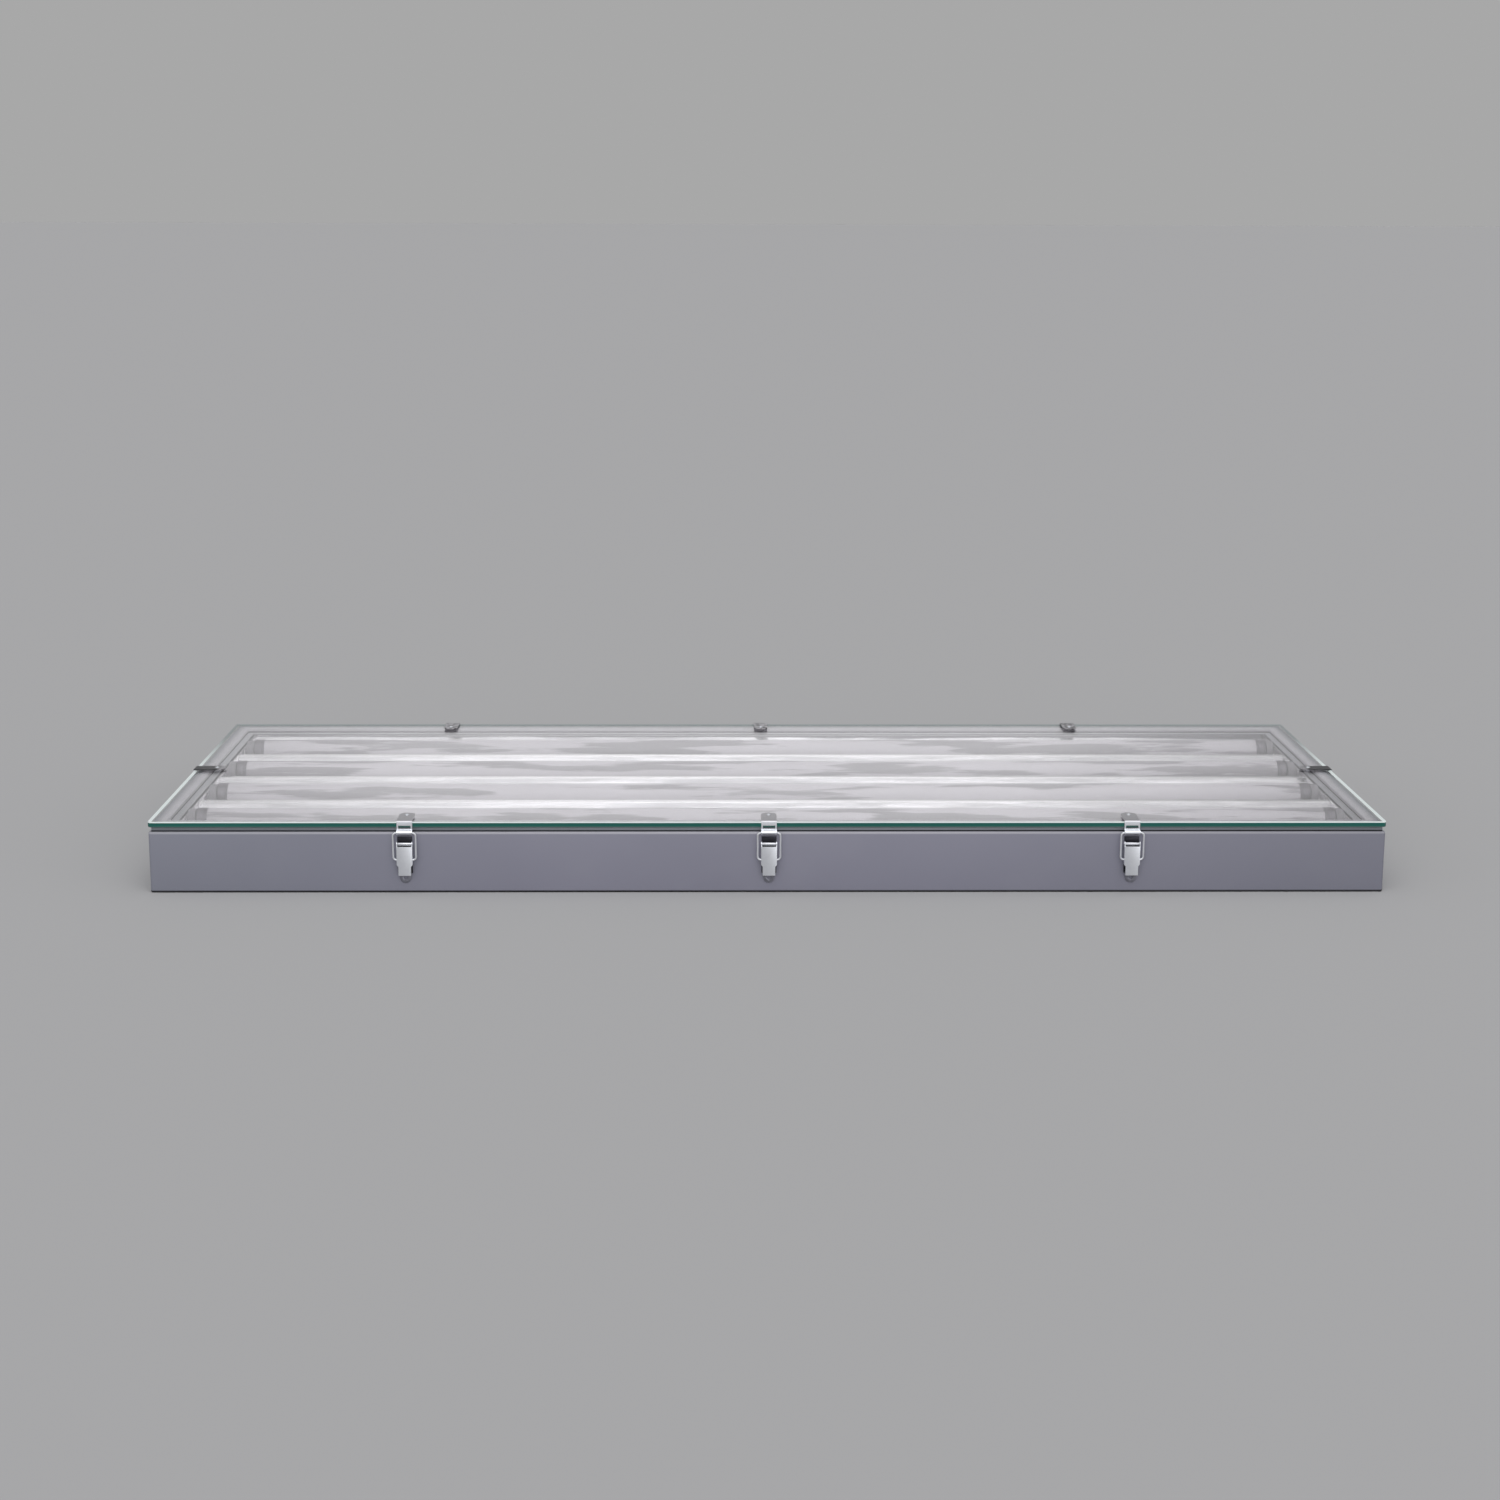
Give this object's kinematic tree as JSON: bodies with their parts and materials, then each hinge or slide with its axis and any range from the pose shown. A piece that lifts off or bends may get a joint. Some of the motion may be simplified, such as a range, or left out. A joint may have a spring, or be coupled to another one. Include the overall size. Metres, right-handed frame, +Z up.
{
  "type": "sealed tube lamp box",
  "caption": "Shallow grey sheet-steel box lying open side up, lit by long tube lamps in bright reflectors and closed by a loose glass pane that toggle latches hold on a gasket.",
  "frame": {"origin": "centre of the housing's underside", "axes": "+X along the lamps, +Y across them towards the back wall, +Z up out of the glass"},
  "size_m": [1.2852, 0.5152, 0.0773],
  "materials": {
    "grey_powder_coat": "satin powder coat",
    "foam_gasket": "closed-cell foam, matt",
    "float_glass": "clear float glass with ground green edges",
    "bright_steel": "bright nickel-plated pressings",
    "bright_wire": "bright drawn wire",
    "rubber_pad": "thin grip pad",
    "bright_reflector": "bright anodised sheet, slightly wavy",
    "zinc_steel": "zinc-plated",
    "lamp_glass": "opal phosphor-coated glass, stood in for by a glossy solid",
    "lamp_cap": "pressed aluminium",
    "brass_pins": "plain brass",
    "white_plastic": "moulded",
    "ballast_case": "white painted steel",
    "black_rubber": "moulded",
    "wire_cover": "PVC insulation, bundled"
  },
  "bodies": {
    "housing": {"back_sheet": "grey_powder_coat", "long_walls": "grey_powder_coat", "end_walls": "grey_powder_coat", "gasket": "foam_gasket", "latch_bases": "bright_steel", "latch_rivets": "bright_steel", "lever_pins": "bright_steel", "reflector_1": "bright_reflector", "reflector_2": "bright_reflector", "reflector_3": "bright_reflector", "reflector_4": "bright_reflector", "reflector_screws": "zinc_steel", "support_rails": "zinc_steel", "end_panels": "bright_reflector", "lampholders": "white_plastic", "ballasts": "ballast_case", "ballast_nuts": "zinc_steel", "terminal_block": "white_plastic", "earth_stud": "brass_pins", "cable_grommet": "black_rubber", "wire_loom": "wire_cover"},
    "lid": {"glass_pane": "float_glass", "strikes": "bright_steel", "strike_pads": "rubber_pad", "strike_rivets": "bright_steel"},
    "lever_1": {"latch_1_lever": "bright_steel"},
    "bail_1": {"latch_1_bail": "bright_wire"},
    "lever_2": {"latch_2_lever": "bright_steel"},
    "bail_2": {"latch_2_bail": "bright_wire"},
    "lever_3": {"latch_3_lever": "bright_steel"},
    "bail_3": {"latch_3_bail": "bright_wire"},
    "lever_4": {"latch_4_lever": "bright_steel"},
    "bail_4": {"latch_4_bail": "bright_wire"},
    "lever_5": {"latch_5_lever": "bright_steel"},
    "bail_5": {"latch_5_bail": "bright_wire"},
    "lever_6": {"latch_6_lever": "bright_steel"},
    "bail_6": {"latch_6_bail": "bright_wire"},
    "lever_7": {"latch_7_lever": "bright_steel"},
    "bail_7": {"latch_7_bail": "bright_wire"},
    "lever_8": {"latch_8_lever": "bright_steel"},
    "bail_8": {"latch_8_bail": "bright_wire"},
    "lamp_1": {"lamp_1_tube": "lamp_glass", "lamp_1_caps": "lamp_cap", "lamp_1_pins": "brass_pins", "lamp_1_rotors": "white_plastic"},
    "lamp_2": {"lamp_2_tube": "lamp_glass", "lamp_2_caps": "lamp_cap", "lamp_2_pins": "brass_pins", "lamp_2_rotors": "white_plastic"},
    "lamp_3": {"lamp_3_tube": "lamp_glass", "lamp_3_caps": "lamp_cap", "lamp_3_pins": "brass_pins", "lamp_3_rotors": "white_plastic"},
    "lamp_4": {"lamp_4_tube": "lamp_glass", "lamp_4_caps": "lamp_cap", "lamp_4_pins": "brass_pins", "lamp_4_rotors": "white_plastic"}
  },
  "joints": [
    {"name": "lid_lift", "type": "slide", "parent": "housing", "child": "lid", "axis": [0, 0, 1], "range_m": [0, 0.25]},
    {"name": "lever_1_turn", "type": "hinge", "parent": "housing", "child": "lever_1", "pos_m": [-0.373, -0.2546, 0.053], "axis": [-1, 0, 0], "range_deg": [0, 150]},
    {"name": "bail_1_swing", "type": "hinge", "parent": "lever_1", "child": "bail_1", "pos_m": [-0.373, -0.2546, 0.036], "axis": [-1, 0, 0], "range_deg": [-128, 0.5]},
    {"name": "lever_2_turn", "type": "hinge", "parent": "housing", "child": "lever_2", "pos_m": [0, -0.2546, 0.053], "axis": [-1, 0, 0], "range_deg": [0, 150]},
    {"name": "bail_2_swing", "type": "hinge", "parent": "lever_2", "child": "bail_2", "pos_m": [0, -0.2546, 0.036], "axis": [-1, 0, 0], "range_deg": [-128, 0.5]},
    {"name": "lever_3_turn", "type": "hinge", "parent": "housing", "child": "lever_3", "pos_m": [0.373, -0.2546, 0.053], "axis": [-1, 0, 0], "range_deg": [0, 150]},
    {"name": "bail_3_swing", "type": "hinge", "parent": "lever_3", "child": "bail_3", "pos_m": [0.373, -0.2546, 0.036], "axis": [-1, 0, 0], "range_deg": [-128, 0.5]},
    {"name": "lever_4_turn", "type": "hinge", "parent": "housing", "child": "lever_4", "pos_m": [0.6396, 0, 0.053], "axis": [0, -1, 0], "range_deg": [0, 150]},
    {"name": "bail_4_swing", "type": "hinge", "parent": "lever_4", "child": "bail_4", "pos_m": [0.6396, 0, 0.036], "axis": [0, -1, 0], "range_deg": [-128, 0.5]},
    {"name": "lever_5_turn", "type": "hinge", "parent": "housing", "child": "lever_5", "pos_m": [0.373, 0.2546, 0.053], "axis": [1, 0, 0], "range_deg": [0, 150]},
    {"name": "bail_5_swing", "type": "hinge", "parent": "lever_5", "child": "bail_5", "pos_m": [0.373, 0.2546, 0.036], "axis": [1, 0, 0], "range_deg": [-128, 0.5]},
    {"name": "lever_6_turn", "type": "hinge", "parent": "housing", "child": "lever_6", "pos_m": [0, 0.2546, 0.053], "axis": [1, 0, 0], "range_deg": [0, 150]},
    {"name": "bail_6_swing", "type": "hinge", "parent": "lever_6", "child": "bail_6", "pos_m": [0, 0.2546, 0.036], "axis": [1, 0, 0], "range_deg": [-128, 0.5]},
    {"name": "lever_7_turn", "type": "hinge", "parent": "housing", "child": "lever_7", "pos_m": [-0.373, 0.2546, 0.053], "axis": [1, 0, 0], "range_deg": [0, 150]},
    {"name": "bail_7_swing", "type": "hinge", "parent": "lever_7", "child": "bail_7", "pos_m": [-0.373, 0.2546, 0.036], "axis": [1, 0, 0], "range_deg": [-128, 0.5]},
    {"name": "lever_8_turn", "type": "hinge", "parent": "housing", "child": "lever_8", "pos_m": [-0.6396, 0, 0.053], "axis": [0, 1, 0], "range_deg": [0, 150]},
    {"name": "bail_8_swing", "type": "hinge", "parent": "lever_8", "child": "bail_8", "pos_m": [-0.6396, 0, 0.036], "axis": [0, 1, 0], "range_deg": [-128, 0.5]},
    {"name": "lamp_1_twist", "type": "hinge", "parent": "housing", "child": "lamp_1", "pos_m": [0, -0.174, 0.0545], "axis": [1, 0, 0], "range_deg": [0, 90]},
    {"name": "lamp_2_twist", "type": "hinge", "parent": "housing", "child": "lamp_2", "pos_m": [0, -0.058, 0.0545], "axis": [1, 0, 0], "range_deg": [0, 90]},
    {"name": "lamp_3_twist", "type": "hinge", "parent": "housing", "child": "lamp_3", "pos_m": [0, 0.058, 0.0545], "axis": [1, 0, 0], "range_deg": [0, 90]},
    {"name": "lamp_4_twist", "type": "hinge", "parent": "housing", "child": "lamp_4", "pos_m": [0, 0.174, 0.0545], "axis": [1, 0, 0], "range_deg": [0, 90]}
  ],
  "couplings": [
    {"joint": "bail_1_swing", "follows": "lever_1_turn", "ratio": -0.85},
    {"joint": "bail_2_swing", "follows": "lever_2_turn", "ratio": -0.85},
    {"joint": "bail_3_swing", "follows": "lever_3_turn", "ratio": -0.85},
    {"joint": "bail_4_swing", "follows": "lever_4_turn", "ratio": -0.85},
    {"joint": "bail_5_swing", "follows": "lever_5_turn", "ratio": -0.85},
    {"joint": "bail_6_swing", "follows": "lever_6_turn", "ratio": -0.85},
    {"joint": "bail_7_swing", "follows": "lever_7_turn", "ratio": -0.85},
    {"joint": "bail_8_swing", "follows": "lever_8_turn", "ratio": -0.85}
  ]
}
